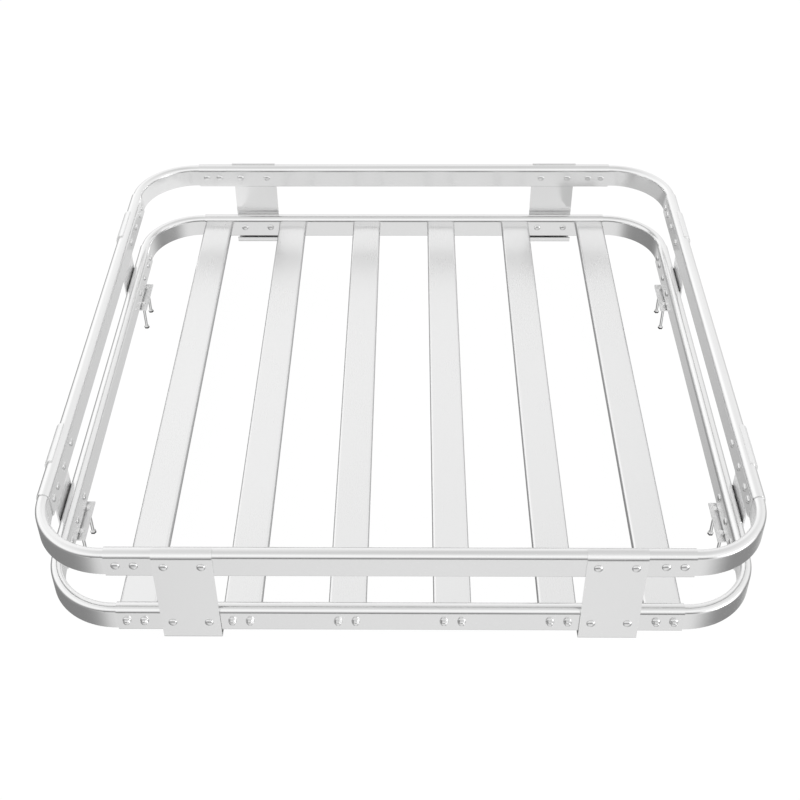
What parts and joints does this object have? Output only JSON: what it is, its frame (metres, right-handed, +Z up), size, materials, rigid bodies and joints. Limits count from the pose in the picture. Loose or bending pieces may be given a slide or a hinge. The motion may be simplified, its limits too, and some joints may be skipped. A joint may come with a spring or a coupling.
{
  "type": "roof rack",
  "caption": "Open aluminium roof basket: two stacked rail rings with rounded corners, flat floor slats, outer bracket plates and hanging clamp bolts.",
  "frame": {"origin": "on the floor under the bolt heads, at the centre of the rack", "axes": "+X to the right, +Y to the back, +Z up"},
  "size_m": [1.251, 1.264, 0.2645],
  "materials": {
    "rail_aluminium": "satin silver extrusion",
    "elbow_aluminium": "satin silver extrusion",
    "slat_aluminium": "satin pale silver",
    "bracket_aluminium": "satin silver sheet",
    "rubber": "matt black",
    "fastener_steel": "zinc plated"
  },
  "bodies": {
    "root": {"upper_front_rail": "rail_aluminium", "upper_back_rail": "rail_aluminium", "upper_left_rail": "rail_aluminium", "upper_right_rail": "rail_aluminium", "upper_front_left_elbow": "elbow_aluminium", "upper_front_right_elbow": "elbow_aluminium", "upper_back_left_elbow": "elbow_aluminium", "upper_back_right_elbow": "elbow_aluminium", "lower_front_rail": "rail_aluminium", "lower_back_rail": "rail_aluminium", "lower_left_rail": "rail_aluminium", "lower_right_rail": "rail_aluminium", "lower_front_left_elbow": "elbow_aluminium", "lower_front_right_elbow": "elbow_aluminium", "lower_back_left_elbow": "elbow_aluminium", "lower_back_right_elbow": "elbow_aluminium", "slat_1": "slat_aluminium", "slat_2": "slat_aluminium", "slat_3": "slat_aluminium", "slat_4": "slat_aluminium", "slat_5": "slat_aluminium", "slat_6": "slat_aluminium", "front_left_bracket": "bracket_aluminium", "front_right_bracket": "bracket_aluminium", "back_left_bracket": "bracket_aluminium", "back_right_bracket": "bracket_aluminium", "left_front_bracket": "bracket_aluminium", "left_back_bracket": "bracket_aluminium", "right_front_bracket": "bracket_aluminium", "right_back_bracket": "bracket_aluminium", "front_left_pad": "rubber", "front_right_pad": "rubber", "back_left_pad": "rubber", "back_right_pad": "rubber", "left_front_pad": "rubber", "left_back_pad": "rubber", "right_front_pad": "rubber", "right_back_pad": "rubber", "left_front_clamp_bolts": "fastener_steel", "left_back_clamp_bolts": "fastener_steel", "right_front_clamp_bolts": "fastener_steel", "right_back_clamp_bolts": "fastener_steel"}
  },
  "joints": []
}
